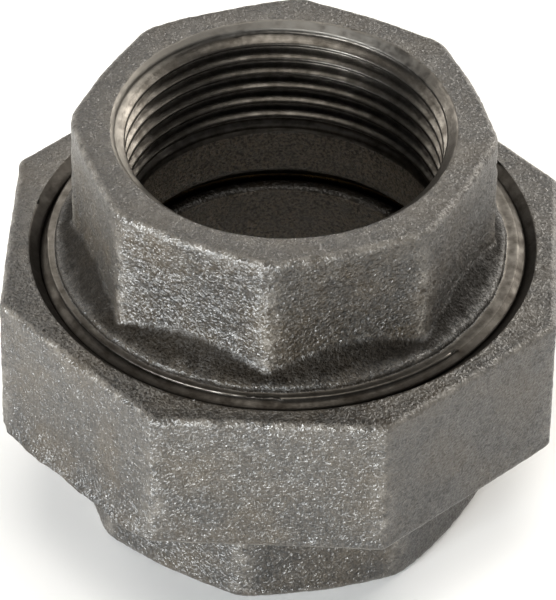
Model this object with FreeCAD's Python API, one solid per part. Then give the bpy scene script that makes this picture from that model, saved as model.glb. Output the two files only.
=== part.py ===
"""Octagonal pipe union, 1-1/4 inch, with parallel internal pipe threads and a ball-nose seat.

Four pieces stand on one vertical axis: the tail piece at the bottom, the union nut round its collar,
the threaded end screwed into the nut from above, and the seat ring pressed into the threaded end.

Millimetres. +Z is up, and the origin is on the axis at the tail piece's bottom face.
"""

import FreeCAD
import Part
import math
import os

# Whitworth pipe thread Rp 1-1/4, 11 threads to the inch.
PIPE_PITCH = 2.309
PIPE_ROOT_R = 20.955
PIPE_CREST_R = 19.476
PIPE_CREST_W = 0.385
MOUTH_R = 21.3
PIPE_THREAD_DEPTH = 17.75

# Union thread between the nut and the threaded end.
UNION_PITCH = 2.309
NUT_CREST_R = 29.25
NUT_ROOT_R = 30.6
NUT_CREST_W = 0.45
MALE_CREST_R = 30.35
MALE_ROOT_R = 29.0
FLANK_GAP = 0.17

THREAD_HALF_ANGLE = math.radians(27.5)

# Heights along the axis.
OVERALL_H = 55.2
NUT_BOTTOM = 16.4
NUT_TOP = 36.9
LIP_TOP = 20.9
COLLAR_BOTTOM = 20.95
COLLAR_TOP = 24.3
NOSE_TOP = 28.8
FLANGE_BOTTOM = 25.0
FLANGE_EDGE = 36.3
TAIL_OCTAGON_TOP = 13.2

# Octagons: distance across flats and the turn of one flat from square to the X and Y axes.
TOP_FLATS = 49.0
TOP_TURN = 6.7
NUT_FLATS = 68.7
NUT_TURN = -14.4
TAIL_FLATS = 49.8
TAIL_TURN = 0.0

# Radii of the joint.
LIP_HOLE_R = 27.1
COLLAR_R = 28.9
NECK_R = 26.3
NOSE_SPHERE_R = 33.94
NOSE_CENTRE_Z = 2.6
NOSE_BASE_R = 26.0
PASSAGE_R = 19.9
SEAT_POCKET_R = 26.6
SEAT_BORE_R = 22.3
SEAT_GAP = 0.15
NUT_RELIEF_R = 30.85
NUT_MOUTH_R = 31.7

# Cast corners and edges.
CORNER_ROUND = 1.6
EDGE_ROUND = 1.2

# Pipe thread crests on the +X side of each bore, as heights of one crest's middle.
TOP_CREST_Z = 51.96
TAIL_CREST_Z = 2.9
UNION_CREST_Z = 36.2


def revolved(edges, start_deg=0.0, sweep_deg=360.0):
    """Solid made by turning a closed outline in the XZ plane about the Z axis."""
    face = Part.Face(Part.Wire(edges))
    solid = face.revolve(FreeCAD.Vector(0, 0, 0), FreeCAD.Vector(0, 0, 1), sweep_deg)
    solid.rotate(FreeCAD.Vector(0, 0, 0), FreeCAD.Vector(0, 0, 1), start_deg)
    return solid


def outline(points):
    """Straight edges joining (radius, height) points, closed back to the first."""
    corners = [FreeCAD.Vector(r, 0, z) for r, z in points]
    return [Part.makeLine(a, b) for a, b in zip(corners, corners[1:] + corners[:1])]


def arc(start, middle, end):
    """Arc through three (radius, height) points."""
    a, b, c = [FreeCAD.Vector(r, 0, z) for r, z in (start, middle, end)]
    return Part.Arc(a, b, c).toShape()


def bore_quarters(points):
    """A turned cutting tool in four quarters, so each quarter leaves its own faces."""
    return [revolved(outline(points), start, 90.0) for start in (20.0, 110.0, 200.0, 290.0)]


def octagon(across_flats, turn_deg, bottom, top, round_bottom, round_top):
    """Octagonal prism with cast-round corners and, where asked, round end edges."""
    corner_r = across_flats / 2 / math.cos(math.pi / 8)
    angles = [math.radians(22.5 + 45 * i + turn_deg) for i in range(8)]
    corners = [FreeCAD.Vector(corner_r * math.cos(a), corner_r * math.sin(a), bottom) for a in angles]
    wire = Part.makePolygon(corners + corners[:1])
    solid = Part.Face(wire).extrude(FreeCAD.Vector(0, 0, top - bottom))
    upright = [e for e in solid.Edges if abs(e.BoundBox.ZLength - (top - bottom)) < 1e-6]
    solid = solid.makeFillet(CORNER_ROUND, upright)
    ends = []
    if round_bottom:
        ends += [e for e in solid.Edges if e.BoundBox.ZMax < bottom + 1e-6]
    if round_top:
        ends += [e for e in solid.Edges if e.BoundBox.ZMin > top - 1e-6]
    return solid.makeFillet(EDGE_ROUND, ends)


def helix_wire(pitch, start_z, turns, radius):
    """Right-hand helix that starts on the +X side, one edge to a turn, drawn on its cylinder."""
    cylinder = Part.Cylinder()
    cylinder.Radius = radius
    edges = []
    for turn in range(math.ceil(turns)):
        low, high = turn, min(turn + 1, turns)
        segment = Part.Geom2d.Line2dSegment(
            FreeCAD.Base.Vector2d(2 * math.pi * low, start_z + pitch * low),
            FreeCAD.Base.Vector2d(2 * math.pi * high, start_z + pitch * high),
        )
        edges.append(segment.toShape(cylinder))
    return Part.Wire(edges)


def helical_cutter(pitch, start_z, turns, wide_r, wide_w, narrow_r, narrow_w):
    """Right-hand thread groove: a trapezoid swept up a helix, its middle at start_z on the +X side."""
    profile = outline(
        [
            (wide_r, start_z - wide_w / 2),
            (wide_r, start_z + wide_w / 2),
            (narrow_r, start_z + narrow_w / 2),
            (narrow_r, start_z - narrow_w / 2),
        ]
    )
    sweep = Part.BRepOffsetAPI.MakePipeShell(helix_wire(pitch, start_z, turns, wide_r))
    sweep.setBiNormalMode(FreeCAD.Vector(0, 0, 1))
    sweep.add(Part.Wire(profile))
    sweep.build()
    sweep.makeSolid()
    return sweep.shape()


def internal_groove(pitch, crest_r, root_r, crest_w, start_z, turns):
    """Cutter for an internal thread, reaching a little into the open bore."""
    slope = math.tan(THREAD_HALF_ANGLE)
    reach = 0.2
    root_w = pitch - crest_w - 2 * (root_r - crest_r) * slope
    wide_w = pitch - crest_w + 2 * reach * slope
    return helical_cutter(pitch, start_z, turns, crest_r - reach, wide_w, root_r, root_w)


def external_groove(start_z, turns):
    """Cutter for the male union thread, its flanks set in from the nut's by FLANK_GAP."""
    slope = math.tan(THREAD_HALF_ANGLE)
    reach = 0.2
    nut_gap_w = UNION_PITCH - NUT_CREST_W - 2 * (MALE_CREST_R - NUT_CREST_R) * slope
    crest_w = nut_gap_w - 2 * FLANK_GAP
    wide_w = UNION_PITCH - crest_w + 2 * reach * slope
    root_w = UNION_PITCH - crest_w - 2 * (MALE_CREST_R - MALE_ROOT_R) * slope
    return helical_cutter(
        UNION_PITCH, start_z, turns, MALE_CREST_R + reach, wide_w, MALE_ROOT_R, root_w
    )


def start_below(crest_z, pitch, lowest):
    """Middle of the first groove on the +X side above the height given."""
    groove_z = crest_z + pitch / 2
    steps = math.floor((groove_z - lowest) / pitch)
    return groove_z - steps * pitch


def threaded_end():
    """Upper end: octagon, flared flange, male union thread, pipe thread, and the seat ring's pocket."""
    flange = [
        (17.0, FLANGE_BOTTOM),
        (MALE_ROOT_R - 0.1, FLANGE_BOTTOM),
        (MALE_CREST_R, FLANGE_BOTTOM + 1.45),
        (MALE_CREST_R, FLANGE_EDGE),
        (28.9, 37.23),
    ]
    flare_top = (23.9, 42.0)
    corners = [FreeCAD.Vector(r, 0, z) for r, z in flange]
    edges = [Part.makeLine(a, b) for a, b in zip(corners, corners[1:])]
    edges.append(arc(flange[-1], (25.8, 38.82), flare_top))
    inner_top = FreeCAD.Vector(17.0, 0, flare_top[1])
    edges.append(Part.makeLine(FreeCAD.Vector(flare_top[0], 0, flare_top[1]), inner_top))
    edges.append(Part.makeLine(inner_top, corners[0]))
    body = octagon(TOP_FLATS, TOP_TURN, 36.9, OVERALL_H, False, True).fuse(revolved(edges))
    thread_start = start_below(UNION_CREST_Z, UNION_PITCH, FLANGE_BOTTOM - 3.0)
    thread_turns = (FLANGE_EDGE + 2.6 - thread_start) / UNION_PITCH
    body = body.cut(external_groove(thread_start, thread_turns))
    bore = [
        (0.0, FLANGE_BOTTOM - 1.0),
        (SEAT_POCKET_R, FLANGE_BOTTOM - 1.0),
        (SEAT_POCKET_R, 29.3),
        (SEAT_BORE_R, 29.3),
        (PASSAGE_R, 31.7),
        (PASSAGE_R, 37.2),
        (PIPE_CREST_R, 37.9),
        (PIPE_CREST_R, OVERALL_H - (MOUTH_R - PIPE_CREST_R)),
        (MOUTH_R, OVERALL_H),
        (MOUTH_R, OVERALL_H + 1.0),
        (0.0, OVERALL_H + 1.0),
    ]
    body = body.cut(bore_quarters(bore))
    groove_start = start_below(TOP_CREST_Z, PIPE_PITCH, OVERALL_H - PIPE_THREAD_DEPTH - 1.5)
    turns = (OVERALL_H + 1.3 - groove_start) / PIPE_PITCH
    return body.cut(
        internal_groove(PIPE_PITCH, PIPE_CREST_R, PIPE_ROOT_R, PIPE_CREST_W, groove_start, turns)
    )


def tail_piece():
    """Lower end: octagon with a pipe thread, neck, collar, and the nose of the ball joint."""
    octagonal = octagon(TAIL_FLATS, TAIL_TURN, 0.0, TAIL_OCTAGON_TOP, True, False)
    nose_r = 21.5
    slope_r = 24.0
    shape = [
        (17.0, TAIL_OCTAGON_TOP - 4.0),
        (NECK_R - 3.0, TAIL_OCTAGON_TOP - 4.0),
        (NECK_R, TAIL_OCTAGON_TOP),
        (NECK_R, COLLAR_BOTTOM),
        (COLLAR_R - 0.4, COLLAR_BOTTOM),
        (COLLAR_R, COLLAR_BOTTOM + 0.4),
        (COLLAR_R, COLLAR_TOP - 0.6),
        (COLLAR_R - 0.6, COLLAR_TOP),
        (NOSE_BASE_R, COLLAR_TOP),
    ]
    base, middle, tip = [
        (r, NOSE_CENTRE_Z + math.sqrt(NOSE_SPHERE_R**2 - r**2)) for r in (NOSE_BASE_R, slope_r, nose_r)
    ]
    corners = [FreeCAD.Vector(r, 0, z) for r, z in shape + [base]]
    edges = [Part.makeLine(a, b) for a, b in zip(corners, corners[1:])]
    edges.append(arc(base, middle, tip))
    inner_top = FreeCAD.Vector(17.0, 0, tip[1])
    edges.append(Part.makeLine(FreeCAD.Vector(tip[0], 0, tip[1]), inner_top))
    edges.append(Part.makeLine(inner_top, corners[0]))
    body = octagonal.fuse(revolved(edges))
    bore = [
        (0.0, -1.0),
        (MOUTH_R, -1.0),
        (MOUTH_R, 0.0),
        (PIPE_CREST_R, MOUTH_R - PIPE_CREST_R),
        (PIPE_CREST_R, 16.8),
        (PASSAGE_R, 17.5),
        (PASSAGE_R, NOSE_TOP + 1.0),
        (0.0, NOSE_TOP + 1.0),
    ]
    body = body.cut(bore_quarters(bore))
    groove_start = start_below(TAIL_CREST_Z, PIPE_PITCH, -1.3 - PIPE_PITCH / 2)
    turns = (PIPE_THREAD_DEPTH - groove_start) / PIPE_PITCH
    return body.cut(
        internal_groove(PIPE_PITCH, PIPE_CREST_R, PIPE_ROOT_R, PIPE_CREST_W, groove_start, turns)
    )


def union_nut():
    """Nut: octagon, countersunk mouth, internal union thread, relief, and the lip under the collar."""
    body = octagon(NUT_FLATS, NUT_TURN, NUT_BOTTOM, NUT_TOP, True, True)
    bore = [
        (0.0, NUT_BOTTOM - 1.0),
        (LIP_HOLE_R + 0.8, NUT_BOTTOM - 1.0),
        (LIP_HOLE_R + 0.8, NUT_BOTTOM),
        (LIP_HOLE_R, NUT_BOTTOM + 0.8),
        (LIP_HOLE_R, LIP_TOP),
        (NUT_RELIEF_R - 0.6, LIP_TOP),
        (NUT_RELIEF_R, LIP_TOP + 0.6),
        (NUT_RELIEF_R, 24.2),
        (NUT_CREST_R, 25.6),
        (NUT_CREST_R, NUT_TOP - (NUT_MOUTH_R - NUT_CREST_R)),
        (NUT_MOUTH_R, NUT_TOP),
        (NUT_MOUTH_R, NUT_TOP + 1.0),
        (0.0, NUT_TOP + 1.0),
    ]
    body = body.cut(bore_quarters(bore))
    groove_start = start_below(UNION_CREST_Z - UNION_PITCH / 2, UNION_PITCH, 23.2 - UNION_PITCH / 2)
    turns = (NUT_TOP + 1.3 - groove_start) / UNION_PITCH
    return body.cut(
        internal_groove(UNION_PITCH, NUT_CREST_R, NUT_ROOT_R, NUT_CREST_W, groove_start, turns)
    )


def seat_ring():
    """Seat ring with a 45 degree face, pressed into the threaded end's pocket."""
    contact_r = NOSE_SPHERE_R * math.sqrt(0.5)
    face_sum = NOSE_CENTRE_Z + 2 * contact_r + SEAT_GAP * math.sqrt(2)
    bottom = FLANGE_BOTTOM + 0.3
    top = 29.3
    return revolved(
        outline(
            [
                (face_sum - bottom, bottom),
                (SEAT_POCKET_R, bottom),
                (SEAT_POCKET_R, top),
                (SEAT_BORE_R, top),
                (SEAT_BORE_R, face_sum - SEAT_BORE_R),
            ]
        )
    )


def main():
    os.makedirs("parts", exist_ok=True)
    pieces = {
        "threaded_end": threaded_end(),
        "union_nut": union_nut(),
        "tail_piece": tail_piece(),
        "seat_ring": seat_ring(),
    }
    for name, shape in pieces.items():
        solids = shape.Solids
        if len(solids) != 1 or not solids[0].isValid():
            raise ValueError(f"{name} is not one valid solid")
        solids[0].exportStep(f"parts/{name}.step")


main()
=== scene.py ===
import math

import bpy
import numpy as np
from mathutils import Matrix, Vector


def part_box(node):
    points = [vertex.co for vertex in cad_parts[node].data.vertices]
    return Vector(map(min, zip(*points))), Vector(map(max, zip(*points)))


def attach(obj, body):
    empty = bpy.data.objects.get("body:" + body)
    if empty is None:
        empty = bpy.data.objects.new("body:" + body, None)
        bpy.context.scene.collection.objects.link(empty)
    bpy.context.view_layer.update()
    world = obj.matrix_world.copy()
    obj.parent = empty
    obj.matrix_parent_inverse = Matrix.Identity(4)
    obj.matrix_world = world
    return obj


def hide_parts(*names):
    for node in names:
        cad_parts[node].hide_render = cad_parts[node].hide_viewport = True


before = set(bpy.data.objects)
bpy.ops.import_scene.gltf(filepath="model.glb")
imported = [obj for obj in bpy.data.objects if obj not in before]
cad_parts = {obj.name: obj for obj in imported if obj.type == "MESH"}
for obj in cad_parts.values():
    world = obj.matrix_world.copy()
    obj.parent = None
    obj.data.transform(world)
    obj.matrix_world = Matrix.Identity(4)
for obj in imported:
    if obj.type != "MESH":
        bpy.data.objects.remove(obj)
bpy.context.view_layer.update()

# The union's four pieces are built as closed grids: a profile, given row by row, round the axis.
# Lengths in this script are millimetres until a mesh, light or camera is made, and metres after that.
MM = 0.001


def top_of(node):
    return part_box(node)[1][2] / MM


def bottom_of(node):
    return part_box(node)[0][2] / MM


TOP = top_of("threaded_end")
NUT_TOP = top_of("union_nut")
NUT_BOTTOM = bottom_of("union_nut")
FLANGE_BOTTOM = bottom_of("threaded_end")
NOSE_TOP = top_of("tail_piece")

# Pipe threads: crest and root radii, countersunk mouth, cored wall past the thread, and depth.
PITCH = 2.309
PIPE_CREST_R, PIPE_ROOT_R = 19.476, 20.955
MOUTH_R = 21.3
CORED_R = 19.9
PIPE_DEPTH = 17.2
FADE_LENGTH = 3.2
TOP_BLIND_Z = TOP - PIPE_DEPTH
TAIL_BLIND_Z = PIPE_DEPTH

# Octagons: width across flats and turn in degrees, round edges and corners, and how far a rim bows out.
TOP_FLATS, TOP_TURN = 49.0, 6.7
NUT_FLATS, NUT_TURN = 68.64, -14.4
TAIL_FLATS, TAIL_TURN = 49.8, 0.0
EDGE = 0.95
CORNER_R, RIM_CORNER_R, LEAST_CORNER_R = 1.15, 3.5, 0.3
RIM_CROWN, TAIL_CROWN, CROWN_FADE = 0.6, 0.8, 6.0

# Flare below the upper octagon, the cast lip at its foot, and the turned shoulder round that.
BLEND = 0.45
FLARE_R, FLARE_Z, FLARE_BEND = 30.2, 43.6, 6.5
LIP_R, LIP_OFF_CENTRE = 27.85, 0.3
FLANGE_R, FLANGE_Z, FLANGE_FOOT_R = 29.4, 36.7, 28.9
FLANGE_SLOPE = 1.56

# Union thread, and the nut's relief and lip.
NUT_CREST_R, NUT_ROOT_R = 29.25, 30.6
MALE_CREST_R, MALE_ROOT_R = 30.35, 29.0
NUT_MOUTH_R = 31.7
NUT_RELIEF_R, NUT_RELIEF_Z, RELIEF_SLOPE = 30.85, 24.2, 1.15
LIP_HOLE_R = 27.1
LIP_TOP = NUT_BOTTOM + 4.5

# Tail piece above its octagon, and the seat its nose closes on.
COLLAR_R = 28.9
COLLAR_BOTTOM = LIP_TOP + 0.05
COLLAR_TOP = 24.3
NECK_R = 26.3
TAIL_OCTAGON_TOP = 13.2
SHOULDER_SLOPE = 1.21
NOSE_FLAT_R, NOSE_EDGE_R, NOSE_FOOT_R = 21.5, 26.0, 26.1
NOSE_SPHERE_R, NOSE_CENTRE_Z = 33.94, 2.6
SEAT_POCKET_R, SEAT_BORE_R, SEAT_TOP = 26.6, 22.3, 29.3
SEAT_FIT = 0.02
SEAT_GAP = 0.15

# Flash on the nut's lower edge: its middle and half its length in degrees. It stays inside HALF_WIDTH.
FLASH_TURN, FLASH_REACH, FLASH_END = -151.0, 25.0, 6.0
HALF_WIDTH = 36.55

# Side on which the cutter has bitten deepest into the upper mouth, in degrees, and the mouth's depth.
BITE_TURN, BITE_DEPTH = 115.0, 1.9

# Where a thread crest passes the +X side, as a height.
TOP_CREST_Z = 51.96
TAIL_CREST_Z = 2.9
UNION_CREST_Z = 36.2

# Points round each grid. More of them on the nut, which is the widest piece.
END_COLUMNS, NUT_COLUMNS, RING_COLUMNS = 420, 560, 300

# Chamfers on turned edges.
LIP_CHAMFER, RELIEF_CHAMFER = 0.8, 0.6
COLLAR_CHAMFER, COLLAR_FOOT_CHAMFER = 0.6, 0.4
RING_CHAMFER, RING_FOOT_CHAMFER = 0.3, 0.2

# Material slots of an iron piece.
# The cored slot's cast iron is painted eight times lighter: painted light on the deep bore walls.
# The dull slot's turned iron is darker: painted shade in the gap between the nut's mouth and the flange.
CAST, TURNED, CORED_PAINTED_LIGHT, DULL_SHADED = 0, 1, 2, 3
THREAD_GRAIN = 0.3

# One turn of thread: distance from the crest's middle in pitches, and depth from 0 to 1.
THREAD_STEPS = (
    (0.0, 0.0),
    (0.07, 0.03),
    (0.14, 0.13),
    (0.25, 0.47),
    (0.37, 0.85),
    (0.5, 1.0),
    (0.63, 0.85),
    (0.75, 0.47),
    (0.86, 0.13),
    (0.93, 0.03),
)


# ---------------------------------------------------------------- noise

NOISE_TABLE = np.random.default_rng(11).permutation(256)
NOISE_TABLE = np.concatenate([NOISE_TABLE, NOISE_TABLE])
NOISE_SLOPES = np.random.default_rng(12).normal(size=(256, 3))
NOISE_SLOPES /= np.linalg.norm(NOISE_SLOPES, axis=1)[:, None]


def noise(points, size, seed=0):
    """Gradient noise of about -1 to 1, with lumps of this size in the points' own units."""
    p = points / size + seed * 17.31
    cell = np.floor(p).astype(int)
    f = p - cell
    fade = f * f * f * (f * (f * 6 - 15) + 10)
    total = np.zeros(len(p))
    for corner in range(8):
        step = np.array([corner & 1, corner >> 1 & 1, corner >> 2 & 1])
        at = (cell + step) & 255
        key = NOISE_TABLE[NOISE_TABLE[NOISE_TABLE[at[:, 0]] + at[:, 1]] + at[:, 2]]
        slope = (NOISE_SLOPES[key] * (f - step)).sum(axis=1)
        total += slope * np.where(step, fade, 1 - fade).prod(axis=1)
    return total * 1.6


# ---------------------------------------------------------------- grids


class Lathe:
    """A closed profile round the axis, row by row.

    A row's radius and height may change round the circle. So may its grain, which is how much of the
    casting's relief it takes, and its wear and shade: 1 is rubbed bare, 0 plain, and -1 painted shade.
    """

    def __init__(self, columns):
        self.columns = columns
        self.phi = np.linspace(0, 2 * math.pi, columns, endpoint=False)
        self.r, self.z, self.grain, self.wear_and_shade = [], [], [], []
        self.slot, self.pinned, self.shift, self.block = [], [], [], []
        self.blocks = {}

    def full(self, value):
        return np.broadcast_to(np.asarray(value, float), (self.columns,)).copy()

    def row(self, r, z, grain=1.0, wear_and_shade=0.0, slot=CAST, pinned=0, shift=0, block=0):
        """pinned is -1 or 1 where a vertex is the previous or the next ring's own, else 0."""
        self.r.append(self.full(r))
        self.z.append(self.full(z))
        self.grain.append(self.full(grain))
        self.wear_and_shade.append(self.full(wear_and_shade))
        self.pinned.append(self.full(pinned).astype(int))
        self.slot.append(slot)
        self.shift.append(shift)
        self.block.append(block)

    def line(self, end, rows, grain=1.0, wear_and_shade=0.0, slot=CAST):
        """Rows from the last one to end, an (r, z) pair."""
        r0, z0 = self.r[-1], self.z[-1]
        g0, w0 = self.grain[-1], self.wear_and_shade[-1]
        for t in np.linspace(0, 1, rows + 1)[1:]:
            r, z = r0 * (1 - t) + end[0] * t, z0 * (1 - t) + end[1] * t
            self.row(r, z, g0 * (1 - t) + grain * t, w0 * (1 - t) + wear_and_shade * t, slot)

    def turned(self, end, rows, grain=0.0, wear_and_shade=0.0):
        self.line(end, rows, grain, wear_and_shade, TURNED)

    def thread(self, low, high, upward, surface, crest_z, slot=TURNED, worn=lambda z: 0.0):
        """Helical rows between two heights. surface(height, depth from 0 to 1) gives the radius."""
        climb = PITCH * self.phi / (2 * math.pi)
        first = math.floor((low - crest_z) / PITCH) - 1
        last = math.ceil((high - crest_z) / PITCH)
        steps = [
            (crest_z + (turn + place) * PITCH, depth)
            for turn in range(first, last + 1)
            for place, depth in THREAD_STEPS
        ]
        steps = [(z, depth) for z, depth in steps if z + PITCH > low and z < high]
        block = len(self.blocks) + 1
        start = len(self.r)
        for start_z, depth in steps if upward else reversed(steps):
            z = start_z + climb
            pinned = np.where(z <= low, -1, 0) + np.where(z >= high, 1, 0)
            z = np.clip(z, low, high)
            way = 1 if upward else -1
            shift = way * len(THREAD_STEPS)
            self.row(surface(z, depth), z, THREAD_GRAIN, worn(z), slot, way * pinned, shift, block)
        self.blocks[block] = (start, len(self.r) - 1)

    def seam(self, index, k):
        """The vertex of the first column that row k meets after a full turn."""
        if not self.shift[k]:
            return index[k, 0]
        start, end = self.blocks[self.block[k]]
        return index[min(max(k + self.shift[k], start - 1), end + 1), 0]

    def build(self, name):
        """The mesh, and for each vertex its place in millimetres, its grain, and its wear and shade
        (painted shade below 0).
        """
        rows, n = len(self.r), self.columns
        pinned = np.array(self.pinned)
        own = pinned == 0
        index = np.zeros((rows, n), int)
        index[own] = np.arange(own.sum())
        for k in range(1, rows):
            index[k] = np.where(pinned[k] == -1, index[k - 1], index[k])
        for k in range(rows - 2, -1, -1):
            index[k] = np.where(pinned[k] == 1, index[k + 1], index[k])
        r, z, phi = np.array(self.r), np.array(self.z), np.broadcast_to(self.phi, (rows, n))
        points = np.stack([r * np.cos(phi), r * np.sin(phi), z], axis=-1)[own]
        faces, slots = [], []
        for k in range(rows):
            after = (k + 1) % rows
            here = index[k].tolist() + [int(self.seam(index, k))]
            there = index[after].tolist() + [int(self.seam(index, after))]
            for c in range(n):
                corners = (here[c], there[c], there[c + 1], here[c + 1])
                loop = [v for i, v in enumerate(corners) if v != corners[i - 1]]
                if len(loop) > 2:
                    faces.append(loop)
                    slots.append(self.slot[after])
        mesh = bpy.data.meshes.new(name)
        mesh.from_pydata((points * MM).tolist(), [], faces)
        mesh.polygons.foreach_set("material_index", slots)
        mesh.polygons.foreach_set("use_smooth", [True] * len(faces))
        mesh.update()
        return mesh, points, np.array(self.grain)[own], np.array(self.wear_and_shade)[own]


def normals_of(mesh):
    """One outward normal for each vertex, as an array."""
    normals = np.zeros(len(mesh.vertices) * 3, np.float32)
    mesh.vertex_normals.foreach_get("vector", normals)
    return normals.reshape(-1, 3).astype(float)


# ---------------------------------------------------------------- shapes


def octagon_r(phi, across, turn, inset=0.0, corner=CORNER_R):
    """Radius of an octagon with rounded corners, at each angle round the axis."""
    half = across / 2 - inset
    corner = max(corner - inset, LEAST_CORNER_R)
    off = from_flat(phi, turn)
    centre = (half - corner) / math.cos(math.pi / 8)
    to_corner = math.pi / 8 - off
    arc = centre * np.cos(to_corner) + np.sqrt(
        np.maximum(corner**2 - (centre * np.sin(to_corner)) ** 2, 0.0)
    )
    tangent = math.atan((half - corner) * math.tan(math.pi / 8) / half)
    return np.where(off < tangent, half / np.cos(off), arc)


def from_flat(phi, turn):
    """Angle from the middle of the nearest flat, 0 to a sixteenth of a turn."""
    eighth = math.pi / 4
    return np.abs((phi - math.radians(turn) + eighth / 2) % eighth - eighth / 2)


def corner_wear(phi, across, turn, width=1.3):
    """1 on an octagon's corners, falling off along its flats."""
    away = (math.pi / 8 - from_flat(phi, turn)) * across / 2
    return np.exp(-((away / width) ** 2))


def smooth(t):
    """0 below 0, 1 above 1, and a smooth step between."""
    t = np.clip(t, 0.0, 1.0)
    return t * t * (3 - 2 * t)


def crowned(phi, across, turn, crown, inset=0.0):
    """Radius of an octagon with well-rounded corners whose flats bow out by crown in the middle."""
    bow = crown * np.cos(4 * from_flat(phi, turn))
    return octagon_r(phi, across, turn, inset, RIM_CORNER_R) + bow


def round_edge(body, across, turn, z, edge, down, crown=0.0):
    """Rows over a round edge between an octagon's end face, at height z, and its sides."""
    steps = (15, 30, 45, 60, 75, 90) if down else (75, 60, 45, 30, 15, 0)
    for degrees in steps:
        a = math.radians(degrees)
        inset = edge * (1 - math.sin(a))
        if crown:
            side = crowned(body.phi, across, turn, crown, inset)
        else:
            side = octagon_r(body.phi, across, turn, inset)
        drop = edge * (1 - math.cos(a))
        wear_and_shade = math.sin(2 * a) if 0 < degrees < 90 else 0.3
        body.row(side, z - drop if down else z + drop, 1.0, wear_and_shade)


def countersunk(z, phi):
    """How bright the cutter has left the upper mouth: mostly on one side, where it bit deeper."""
    side = 0.5 + 0.5 * np.cos(phi - math.radians(BITE_TURN))
    return smooth((BITE_DEPTH - np.abs(TOP - z)) / 0.5) * side


def pipe_thread(z, depth, mouth_z, blind_z):
    """Bore radius of a pipe thread that starts at a countersunk mouth and fades out at its blind end."""
    cut = PIPE_CREST_R + (PIPE_ROOT_R - PIPE_CREST_R) * depth
    fade = smooth(np.abs(z - blind_z) / FADE_LENGTH)
    return np.maximum(CORED_R * (1 - fade) + cut * fade, MOUTH_R - np.abs(mouth_z - z))


def flare_z(r):
    """Height of the flare's hollow curve at this radius."""
    return FLARE_Z - np.sqrt(FLARE_BEND**2 - (FLARE_R - r) ** 2)


def lip_r(phi):
    """Radius of the cast lip inside the flange's turned shoulder: ragged, and a little off centre."""
    along = np.stack([FLANGE_R * np.cos(phi), FLANGE_R * np.sin(phi), np.zeros_like(phi)], axis=1)
    ragged = 0.16 * noise(along, 6.0, 81) + 0.1 * noise(along, 1.7, 82)
    return LIP_R - LIP_OFF_CENTRE * np.cos(phi) + ragged


def male_thread(z, depth):
    """Radius of the union thread on the flange, with a chamfer at either end."""
    cut = MALE_CREST_R - (MALE_CREST_R - MALE_ROOT_R) * depth
    lead = np.minimum(FLANGE_R + (FLANGE_Z - z) * FLANGE_SLOPE, FLANGE_FOOT_R + (z - FLANGE_BOTTOM))
    return np.minimum(cut, lead)


def nut_thread(z, depth):
    """Radius of the union thread in the nut, between its relief and its countersunk mouth."""
    cut = NUT_CREST_R + (NUT_ROOT_R - NUT_CREST_R) * depth
    relief = NUT_RELIEF_R - (z - NUT_RELIEF_Z) * RELIEF_SLOPE
    return np.maximum(cut, np.maximum(relief, NUT_MOUTH_R - (NUT_TOP - z)))


def threaded_end():
    body = Lathe(END_COLUMNS)
    side = octagon_r(body.phi, TOP_FLATS, TOP_TURN)
    ridge = corner_wear(body.phi, TOP_FLATS, TOP_TURN)
    body.row(MOUTH_R + 0.3, TOP, 0.5, 0.6)
    body.line((crowned(body.phi, TOP_FLATS, TOP_TURN, RIM_CROWN, EDGE), TOP), 10)
    round_edge(body, TOP_FLATS, TOP_TURN, TOP, EDGE, True, RIM_CROWN)
    body.line((side, TOP - CROWN_FADE), 9, 1.0, ridge)
    body.line((side, flare_z(side) + BLEND), 20, 1.0, ridge)
    # The blend under the octagon falls to -1 and the flare's hollow curve climbs back towards 0 at the
    # lip: painted shade, darkest just under the octagon.
    for t in (0.33, 0.66, 1.0):
        end_r, end_z = side + BLEND, flare_z(side + BLEND)
        r = (1 - t * t) * side + t * t * end_r
        z = (1 - t) ** 2 * (flare_z(side) + BLEND) + 2 * t * (1 - t) * flare_z(side) + t * t * end_z
        body.row(r, z, 1.0, ridge * (1 - t) - t)
    start_r = body.r[-1]
    lip = lip_r(body.phi)
    for t in np.linspace(0, 1, 10)[1:]:
        r = start_r * (1 - t) + lip * t
        body.row(r, flare_z(r), 1.0, -1.0 + 0.9 * t**3)
    body.row(lip + 0.22, flare_z(lip) - 0.12, 1.0, 0.0)
    # The step wall down to the flange's turned shoulder takes -1: painted shade.
    body.row(lip + 0.3, FLANGE_Z + 0.12, 0.6, -1.0)
    body.row(lip + 0.42, FLANGE_Z, 0.3, 0.0)
    body.turned((FLANGE_R, FLANGE_Z), 3, 0.3)
    # The union thread takes the darker dull iron: painted shade in the gap under the nut's mouth.
    body.thread(FLANGE_BOTTOM, FLANGE_Z, False, male_thread, UNION_CREST_Z, DULL_SHADED)
    body.row(FLANGE_FOOT_R, FLANGE_BOTTOM, 0.0, 0.3, DULL_SHADED)
    body.turned((SEAT_POCKET_R + SEAT_FIT, FLANGE_BOTTOM), 5)
    body.turned((SEAT_POCKET_R + SEAT_FIT, SEAT_TOP + SEAT_FIT), 8)
    body.turned((SEAT_BORE_R, SEAT_TOP + SEAT_FIT), 8, 0.3)
    body.turned((CORED_R + 0.4, SEAT_TOP + 2.2), 6, 0.6)
    # Painted light: the cored wall's colour is eight times lighter.
    body.line((CORED_R, SEAT_TOP + 2.8), 2, 1.0, 0.5, CORED_PAINTED_LIGHT)
    body.line((CORED_R, TOP_BLIND_Z), 12, 0.8, 0.0, CORED_PAINTED_LIGHT)
    body.thread(
        TOP_BLIND_Z,
        TOP,
        True,
        lambda z, depth: pipe_thread(z, depth, TOP, TOP_BLIND_Z),
        TOP_CREST_Z,
        worn=lambda z: countersunk(z, body.phi),
    )
    body.row(MOUTH_R, TOP, 0.6, countersunk(TOP, body.phi), TURNED)
    return body


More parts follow.
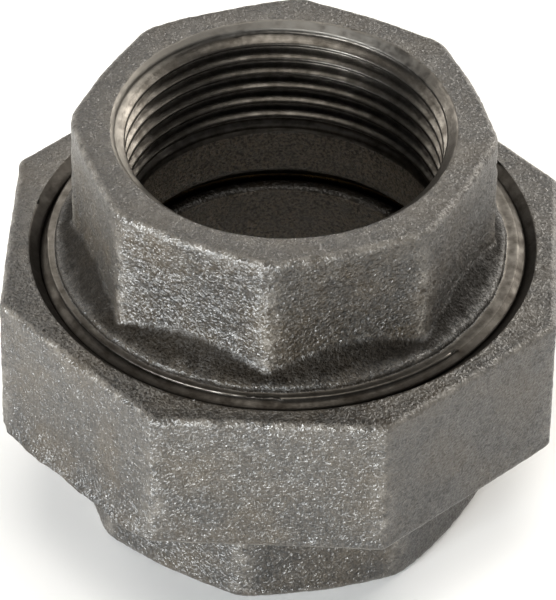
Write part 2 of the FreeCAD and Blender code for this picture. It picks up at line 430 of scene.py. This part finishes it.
def flash(phi):
    """Ragged fin that the mould's joint has left along one lower edge of the nut, in millimetres."""
    middle, reach = math.radians(FLASH_TURN), math.radians(FLASH_REACH)
    off = np.abs((phi - middle + math.pi) % (2 * math.pi) - math.pi)
    along = np.stack([phi * NUT_FLATS / 2, np.zeros_like(phi), np.zeros_like(phi)], axis=1)
    ragged = 1.1 + 0.4 * noise(along, 4.2, 71) + 0.16 * noise(along, 1.6, 72)
    return np.clip(ragged, 0.3, 1.6) * smooth((reach - off) / math.radians(FLASH_END))


def union_nut():
    body = Lathe(NUT_COLUMNS)
    side = octagon_r(body.phi, NUT_FLATS, NUT_TURN)
    ridge = corner_wear(body.phi, NUT_FLATS, NUT_TURN)
    limit = HALF_WIDTH / np.maximum(np.abs(np.cos(body.phi)), np.abs(np.sin(body.phi)))
    fin = np.minimum(flash(body.phi), np.maximum(limit - side, 0.0))
    body.row(NUT_MOUTH_R + 0.3, NUT_TOP, 0.7, 0.6)
    body.line((octagon_r(body.phi, NUT_FLATS, NUT_TURN, EDGE), NUT_TOP), 8)
    round_edge(body, NUT_FLATS, NUT_TURN, NUT_TOP, EDGE, True)
    body.line((side, NUT_BOTTOM + EDGE + 4.2), 35, 1.0, ridge)
    body.line((side + fin * 0.25, NUT_BOTTOM + EDGE + 2.2), 4, 1.0, ridge)
    body.line((side + fin * 0.6, NUT_BOTTOM + EDGE + 0.7), 3, 1.0, 0.0)
    body.line((side + fin, NUT_BOTTOM + EDGE - 0.1), 2, 0.6, 0.0)
    round_edge(body, NUT_FLATS, NUT_TURN, NUT_BOTTOM, EDGE, False)
    for k, share in ((-6, 1.0), (-5, 0.9), (-4, 0.6), (-3, 0.3)):
        body.r[k] = body.r[k] + fin * share
    body.line((LIP_HOLE_R + LIP_CHAMFER, NUT_BOTTOM), 16, 1.0, 0.0)
    body.turned((LIP_HOLE_R, NUT_BOTTOM + LIP_CHAMFER), 2, 0.2, 0.3)
    body.turned((LIP_HOLE_R, LIP_TOP), 8)
    body.turned((NUT_RELIEF_R - RELIEF_CHAMFER, LIP_TOP), 7)
    body.turned((NUT_RELIEF_R, LIP_TOP + RELIEF_CHAMFER), 2)
    body.turned((NUT_RELIEF_R, NUT_RELIEF_Z), 6)
    # The thread and its countersunk mouth take the darker dull iron: painted shade in the gap round the
    # flange.
    body.thread(NUT_RELIEF_Z, NUT_TOP, True, nut_thread, UNION_CREST_Z - PITCH / 2, DULL_SHADED)
    body.row(NUT_MOUTH_R, NUT_TOP, 0.3, 0.6, DULL_SHADED)
    return body


def tail_piece():
    body = Lathe(END_COLUMNS)
    side = octagon_r(body.phi, TAIL_FLATS, TAIL_TURN)
    ridge = corner_wear(body.phi, TAIL_FLATS, TAIL_TURN)
    body.row(CORED_R + 0.5, NOSE_TOP, 0.6, 0.0)
    body.line((NOSE_FLAT_R, NOSE_TOP), 4, 0.2)
    for r in np.linspace(NOSE_FLAT_R, NOSE_EDGE_R, 13)[1:]:
        z = NOSE_CENTRE_Z + math.sqrt(NOSE_SPHERE_R**2 - r**2)
        body.row(r, min(z, NOSE_TOP), 0.0, 0.0, TURNED)
    body.turned((NOSE_FOOT_R, COLLAR_TOP), 1)
    body.turned((COLLAR_R - COLLAR_CHAMFER, COLLAR_TOP), 5)
    body.turned((COLLAR_R, COLLAR_TOP - COLLAR_CHAMFER), 2, 0.0, 0.5)
    body.turned((COLLAR_R, COLLAR_BOTTOM + COLLAR_FOOT_CHAMFER), 6)
    body.turned((COLLAR_R - COLLAR_FOOT_CHAMFER, COLLAR_BOTTOM), 2, 0.0, 0.4)
    body.turned((NECK_R, COLLAR_BOTTOM), 6)
    body.line((NECK_R, TAIL_OCTAGON_TOP + 1.0), 14, 0.8, 0.0)
    shoulder = TAIL_OCTAGON_TOP - np.maximum(NECK_R - side, 0.0) * SHOULDER_SLOPE
    for t in (0.25, 0.5, 0.75, 1.0):
        r = NECK_R * (1 - t) + side * t
        z = (TAIL_OCTAGON_TOP + 1.0) * (1 - smooth(t)) + (shoulder - 0.4) * smooth(t)
        body.row(r, z, 1.0, ridge * t)
    body.line((crowned(body.phi, TAIL_FLATS, TAIL_TURN, TAIL_CROWN), EDGE), 28, 1.0, ridge)
    body.wear_and_shade[-1] = body.full(0.3)
    round_edge(body, TAIL_FLATS, TAIL_TURN, 0.0, EDGE, False, TAIL_CROWN)
    body.line((MOUTH_R, 0.0), 9, 0.4, 0.4)
    body.thread(
        0.0, TAIL_BLIND_Z, True, lambda z, depth: pipe_thread(z, depth, 0.0, TAIL_BLIND_Z), TAIL_CREST_Z
    )
    body.row(CORED_R, TAIL_BLIND_Z, 0.8, 1.0, TURNED)
    # Painted light: the cored passage's colour is eight times lighter.
    body.line((CORED_R, NOSE_TOP - 0.4), 22, 0.8, 0.6, CORED_PAINTED_LIGHT)
    return body


def seat_ring():
    """The conical face is where radius and height add up to face_sum."""
    body = Lathe(RING_COLUMNS)
    outer = SEAT_POCKET_R - SEAT_FIT
    face_sum = NOSE_CENTRE_Z + 2 * NOSE_SPHERE_R * math.sqrt(0.5) + SEAT_GAP * math.sqrt(2)
    bottom = bottom_of("seat_ring")
    body.row(SEAT_BORE_R + 0.15, SEAT_TOP - SEAT_FIT, 0.0, 0.0, TURNED)
    body.turned((outer - RING_CHAMFER, SEAT_TOP - SEAT_FIT), 5)
    body.turned((outer, SEAT_TOP - RING_CHAMFER), 2)
    body.turned((outer, bottom + RING_FOOT_CHAMFER), 6)
    body.turned((outer - RING_FOOT_CHAMFER, bottom), 2)
    body.turned((face_sum - bottom + 0.15, bottom), 3)
    body.turned((face_sum - bottom, bottom + 0.1), 1)
    body.turned((SEAT_BORE_R, face_sum - SEAT_BORE_R), 10)
    body.turned((SEAT_BORE_R, SEAT_TOP - 0.17), 2)
    return body


# ---------------------------------------------------------------- pieces


def cast_relief(points, seed):
    """How far sand casting has left each point below the pattern's surface, in millimetres."""
    waves = 0.09 * noise(points, 9.0, seed) + 0.05 * noise(points, 3.6, seed + 1)
    lumps = 0.04 * noise(points, 1.5, seed + 2) + 0.05 * noise(points, 0.8, seed + 3)
    pits = -0.16 * smooth((noise(points, 1.9, seed + 4) - 0.55) / 0.3)
    return np.minimum(waves + lumps + pits - 0.09, 0.0)


def piece(name, body, node, ride, materials, seed):
    mesh, points, grain, wear_and_shade = body.build(name)
    relief = cast_relief(points, seed) * grain
    points = points + normals_of(mesh) * relief[:, None]
    mesh.vertices.foreach_set("co", (points * MM).ravel())
    mesh.update()
    # The mesh carries wear and shade as one attribute: real wear above 0, painted shade below 0.
    worn = mesh.attributes.new("wear_and_shade", "FLOAT", "POINT")
    worn.data.foreach_set("value", np.clip(wear_and_shade, -1, 1).astype(np.float32))
    for m in materials:
        mesh.materials.append(m)
    obj = bpy.data.objects.new(name, mesh)
    bpy.context.scene.collection.objects.link(obj)
    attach(obj, ride)
    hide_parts(node)
    return obj


# ---------------------------------------------------------------- materials


class Nodes:
    """Short calls for building a material's node tree."""

    def __init__(self, name):
        self.material = bpy.data.materials.new(name)
        self.material.use_nodes = True
        self.tree = self.material.node_tree
        self.shader = self.tree.nodes["Principled BSDF"]
        where = self.tree.nodes.new("ShaderNodeTexCoord")
        scale = self.tree.nodes.new("ShaderNodeVectorMath")
        scale.operation = "SCALE"
        scale.inputs["Scale"].default_value = 1 / MM
        self.tree.links.new(where.outputs["Object"], scale.inputs[0])
        self.place = scale.outputs[0]

    def link(self, value, socket):
        if hasattr(value, "links"):
            self.tree.links.new(value, socket)
        else:
            socket.default_value = value

    def noise(self, size, detail=4.0, rough=0.6, place=None):
        """Noise of 0 to 1 with lumps of this size in millimetres."""
        node = self.tree.nodes.new("ShaderNodeTexNoise")
        node.inputs["Scale"].default_value = 1 / size
        node.inputs["Detail"].default_value = detail
        node.inputs["Roughness"].default_value = rough
        self.link(place or self.place, node.inputs["Vector"])
        return node.outputs["Fac"]

    def facets(self, size, tilt):
        """Normal leaning a different way on each grain of this size in millimetres."""
        node = self.tree.nodes.new("ShaderNodeTexVoronoi")
        node.inputs["Scale"].default_value = 1 / size
        self.link(self.place, node.inputs["Vector"])
        surface = self.tree.nodes.new("ShaderNodeNewGeometry")
        lean = self.vector("MULTIPLY_ADD", node.outputs["Color"], (tilt,) * 3, (-tilt / 2,) * 3)
        return self.vector("NORMALIZE", self.vector("ADD", surface.outputs["Normal"], lean))

    def vector(self, operation, *values):
        node = self.tree.nodes.new("ShaderNodeVectorMath")
        node.operation = operation
        for value, socket in zip(values, node.inputs):
            self.link(value, socket)
        return node.outputs[0]

    def attribute(self, name):
        node = self.tree.nodes.new("ShaderNodeAttribute")
        node.attribute_name = name
        return node.outputs["Fac"]

    def math(self, operation, a, b=0.0, c=0.0):
        node = self.tree.nodes.new("ShaderNodeMath")
        node.operation = operation
        for value, socket in zip((a, b, c), node.inputs):
            self.link(value, socket)
        return node.outputs[0]

    def span(self, value, low, high, out_low=0.0, out_high=1.0):
        """value between low and high, mapped to out_low to out_high and held there beyond."""
        node = self.tree.nodes.new("ShaderNodeMapRange")
        sockets = ("Value", "From Min", "From Max", "To Min", "To Max")
        for socket, v in zip(sockets, (value, low, high, out_low, out_high)):
            self.link(v, node.inputs[socket])
        return node.outputs[0]

    def mix(self, factor, a, b):
        node = self.tree.nodes.new("ShaderNodeMix")
        node.data_type = "RGBA"
        self.link(factor, node.inputs["Factor"])
        self.link(a if hasattr(a, "links") else (*a, 1.0), node.inputs[6])
        self.link(b if hasattr(b, "links") else (*b, 1.0), node.inputs[7])
        return node.outputs[2]

    def bump(self, height, depth, below=None):
        """Surface relief from a height of 0 to 1, depth in millimetres."""
        node = self.tree.nodes.new("ShaderNodeBump")
        node.inputs["Strength"].default_value = 1.0
        node.inputs["Distance"].default_value = depth * MM
        self.link(height, node.inputs["Height"])
        if below:
            self.link(below, node.inputs["Normal"])
        return node.outputs[0]


SKIN_DARK, SKIN_LIGHT = (0.005, 0.0042, 0.0032), (0.036, 0.030, 0.023)
RUST_BROWN, OIL_STAIN = (0.044, 0.030, 0.014), (0.007, 0.006, 0.005)
# The grime colour is the dark of painted shade as well as of random grime.
BARE_IRON, GRIME_AND_SHADE = (0.150, 0.135, 0.115), (0.007, 0.0055, 0.004)
BRIGHT_CUT = (0.20, 0.188, 0.17)
TURNED_BRIGHT, TURNED_DARK = (0.140, 0.130, 0.117), (0.060, 0.053, 0.045)
# The dull pair is the turned pair at about half strength: painted shade for the union threads in the gap
# between nut and flange.
DULL_SHADED_BRIGHT, DULL_SHADED_DARK = (0.070, 0.064, 0.057), (0.034, 0.029, 0.024)
BRASS_BRIGHT, BRASS_DARK = (0.20, 0.135, 0.055), (0.075, 0.052, 0.028)
FLOOR_LOW, FLOOR_HIGH = (0.93, 0.93, 0.93), (0.95, 0.95, 0.95)


def cast_iron(name, light=1.0, rust=0.45):
    """Sand-cast iron under a thin black-brown skin: gritty, with olive and rust-brown stains, and
    painted shade where the wear and shade value is below 0.
    """

    # light scales the skin, rust and stain colours; above 1, as on cored iron, it is painted light.
    def tone(colour):
        return tuple(v * light for v in colour)

    n = Nodes(name)
    wear_and_shade = n.attribute("wear_and_shade")
    # Mask of painted shade, where the wear and shade value is below 0, with mild random grime mixed in
    # everywhere.
    grime_and_shade = n.span(n.math("ADD", wear_and_shade, n.span(n.noise(1.8, 4.0, 0.6), 0.35, 0.65, -0.2, 0.2)), 0.0, -0.9)
    grit = n.noise(0.36, 2.0, 0.55)
    patch = n.noise(7.0, 4.0, 0.55)
    stain = n.noise(1.9, 5.0, 0.65)
    colour = n.mix(n.span(grit, 0.36, 0.66), tone(SKIN_DARK), tone(SKIN_LIGHT))
    colour = n.mix(n.span(patch, 0.45, 0.68, 0.0, rust), colour, tone(RUST_BROWN))
    colour = n.mix(n.span(stain, 0.55, 0.74, 0.0, 0.6), colour, tone(OIL_STAIN))
    bare = n.math("MULTIPLY", wear_and_shade, n.span(stain, 0.40, 0.62))
    colour = n.mix(n.math("MULTIPLY", bare, 0.7), colour, BARE_IRON)
    # The mask darkens the colour: painted shade, with some real grime.
    colour = n.mix(n.math("MULTIPLY", grime_and_shade, 0.8), colour, GRIME_AND_SHADE)
    n.link(colour, n.shader.inputs["Base Color"])
    # It also lowers the IOR and raises the roughness, so the painted shade reflects less.
    n.link(n.span(grime_and_shade, 0.0, 1.0, 1.73, 1.22), n.shader.inputs["IOR"])
    rough = n.span(grit, 0.3, 0.7, 0.50, 0.24)
    n.link(n.math("ADD", rough, n.math("MULTIPLY", grime_and_shade, 0.2)), n.shader.inputs["Roughness"])
    relief = n.bump(n.noise(1.1, 3.0, 0.6), 0.14, n.facets(0.30, 0.52))
    relief = n.bump(grit, 0.24, relief)
    n.link(relief, n.shader.inputs["Normal"])
    return n.material


def turned_iron(name, bright, dark, smooth_rough, dull_rough):
    """Machined iron: fine rings left by the tool, darkened by oil and oxide."""
    n = Nodes(name)
    stretch = n.tree.nodes.new("ShaderNodeVectorMath")
    stretch.operation = "MULTIPLY"
    stretch.inputs[1].default_value = (0.12, 0.12, 1.0)
    n.link(n.place, stretch.inputs[0])
    lines = n.noise(0.09, 2.0, 0.5, stretch.outputs[0])
    film = n.noise(1.6, 5.0, 0.62)
    worn = n.span(n.math("ADD", n.attribute("wear_and_shade"), n.span(film, 0.3, 0.7, -0.3, 0.3)), 0.3, 1.0)
    colour = n.mix(n.span(film, 0.35, 0.68), bright, dark)
    colour = n.mix(worn, colour, BRIGHT_CUT)
    n.link(colour, n.shader.inputs["Base Color"])
    n.shader.inputs["Metallic"].default_value = 1.0
    rough = n.span(film, 0.3, 0.7, smooth_rough, dull_rough)
    n.link(n.math("ADD", rough, n.math("MULTIPLY", worn, 0.25)), n.shader.inputs["Roughness"])
    relief = n.bump(lines, 0.012)
    relief = n.bump(n.noise(0.5, 4.0, 0.6), 0.03, relief)
    n.link(relief, n.shader.inputs["Normal"])
    return n.material


def turned_brass(name):
    """Machined brass under a dark patina."""
    n = Nodes(name)
    film = n.noise(2.0, 4.0, 0.6)
    colour = n.mix(n.span(film, 0.35, 0.7), BRASS_BRIGHT, BRASS_DARK)
    n.link(colour, n.shader.inputs["Base Color"])
    n.shader.inputs["Metallic"].default_value = 1.0
    n.link(n.span(film, 0.3, 0.7, 0.22, 0.38), n.shader.inputs["Roughness"])
    n.link(n.bump(n.noise(0.3, 3.0, 0.6), 0.01), n.shader.inputs["Normal"])
    return n.material


def pale_floor(name):
    n = Nodes(name)
    colour = n.mix(n.noise(90.0, 2.0, 0.5), FLOOR_LOW, FLOOR_HIGH)
    n.link(colour, n.shader.inputs["Base Color"])
    n.shader.inputs["Roughness"].default_value = 0.7
    return n.material


IRON = (
    cast_iron("cast_iron"),
    turned_iron("turned_iron", TURNED_BRIGHT, TURNED_DARK, 0.30, 0.44),
    # Cast iron with its colours eight times lighter: painted light on the deep bore walls.
    cast_iron("cored_iron_painted_light", 8.0, 0.0),
    # A darker copy of turned iron: painted shade in the gap between nut and flange; the higher roughness
    # is the threads' duller finish.
    turned_iron("dull_shaded_turned_iron", DULL_SHADED_BRIGHT, DULL_SHADED_DARK, 0.40, 0.60),
)

piece("threaded_end_casting", threaded_end(), "threaded_end", "threaded", IRON, 3)
piece("union_nut_casting", union_nut(), "union_nut", "nut", IRON, 21)
piece("tail_piece_casting", tail_piece(), "tail_piece", "tail", IRON, 37)
brass = turned_brass("turned_brass")
piece("brass_seat_ring", seat_ring(), "seat_ring", "threaded", (brass, brass), 55)


# ---------------------------------------------------------------- floor, light and camera

FLOOR_SIZE = 4.0
h = FLOOR_SIZE / 2
floor_mesh = bpy.data.meshes.new("floor")
floor_mesh.from_pydata([(-h, -h, 0), (h, -h, 0), (h, h, 0), (-h, h, 0)], [], [(0, 1, 2, 3)])
floor_mesh.materials.append(pale_floor("pale_floor"))
floor = bpy.data.objects.new("floor", floor_mesh)
bpy.context.scene.collection.objects.link(floor)

HORIZON_STRENGTH, ZENITH_STRENGTH = 0.45, 0.03
world = bpy.data.worlds.new("studio")
bpy.context.scene.world = world
world.use_nodes = True
sky = world.node_tree
sky.nodes["Background"].inputs["Color"].default_value = (1, 1, 1, 1)
where = sky.nodes.new("ShaderNodeTexCoord")
split = sky.nodes.new("ShaderNodeSeparateXYZ")
sky.links.new(where.outputs["Generated"], split.inputs[0])
fall = sky.nodes.new("ShaderNodeMapRange")
sky.links.new(split.outputs["Z"], fall.inputs["Value"])
fall.inputs["From Min"].default_value = 0.0
fall.inputs["From Max"].default_value = 0.75
fall.inputs["To Min"].default_value = HORIZON_STRENGTH
fall.inputs["To Max"].default_value = ZENITH_STRENGTH
sky.links.new(fall.outputs[0], sky.nodes["Background"].inputs["Strength"])

TARGET = Vector((0.0, 0.0, 33.5 * MM))
VIEW_TURN = -12.16
ORIGIN_SIDE = -90.0


def direction(turn, rise):
    """Unit vector away from the object: turn in degrees from the camera's side, rise above the floor."""
    a, e = math.radians(VIEW_TURN + turn + ORIGIN_SIDE), math.radians(rise)
    return Vector((math.cos(e) * math.cos(a), math.cos(e) * math.sin(a), math.sin(e)))


WARM_WHITE = (1.0, 0.96, 0.89)
COOL_WHITE = (0.94, 0.98, 1.0)


def soft_light(name, turn, rise, away, size, power, colour=WARM_WHITE):
    data = bpy.data.lights.new(name, "AREA")
    data.shape = "RECTANGLE"
    data.size, data.size_y = size
    data.energy = power
    data.color = colour
    lamp = bpy.data.objects.new(name, data)
    bpy.context.scene.collection.objects.link(lamp)
    lamp.location = TARGET + direction(turn, rise) * away
    lamp.rotation_euler = (TARGET - lamp.location).to_track_quat("-Z", "Y").to_euler()


soft_light("low_key", -37.0, 6.0, 0.7, (0.30, 0.20), 11.5, COOL_WHITE)
soft_light("low_front", -5.0, 6.0, 0.7, (0.35, 0.20), 0.8)
soft_light("right", 95.0, 18.0, 0.9, (0.5, 0.35), 1.3)
soft_light("back", 180.0, 35.0, 1.1, (0.8, 0.5), 2.9)
soft_light("back_right", 135.0, 25.0, 1.0, (0.5, 0.4), 8.0)
soft_light("back_left", -135.0, 25.0, 1.0, (0.5, 0.4), 3.4)
soft_light("overhead", 0.0, 84.0, 1.0, (0.7, 0.7), 6.0)

CAMERA_RISE = 40.46
CAMERA_AWAY = 0.607
FOCAL_LENGTH = 290.9
CAMERA_ROLL = math.radians(0.69)
TARGET_RIGHT, TARGET_UP = 0.0075, 0.0656

camera_data = bpy.data.cameras.new("camera")
camera_data.lens = FOCAL_LENGTH
camera = bpy.data.objects.new("camera", camera_data)
bpy.context.scene.collection.objects.link(camera)
camera.location = TARGET + direction(0.0, CAMERA_RISE) * CAMERA_AWAY
aim = (TARGET - camera.location).to_track_quat("-Z", "Y").to_matrix()
camera.rotation_euler = (aim @ Matrix.Rotation(CAMERA_ROLL, 3, "Z")).to_euler()
camera_data.shift_x = -TARGET_RIGHT
camera_data.shift_y = -TARGET_UP
bpy.context.scene.camera = camera
bpy.context.scene.view_settings.view_transform = "Standard"
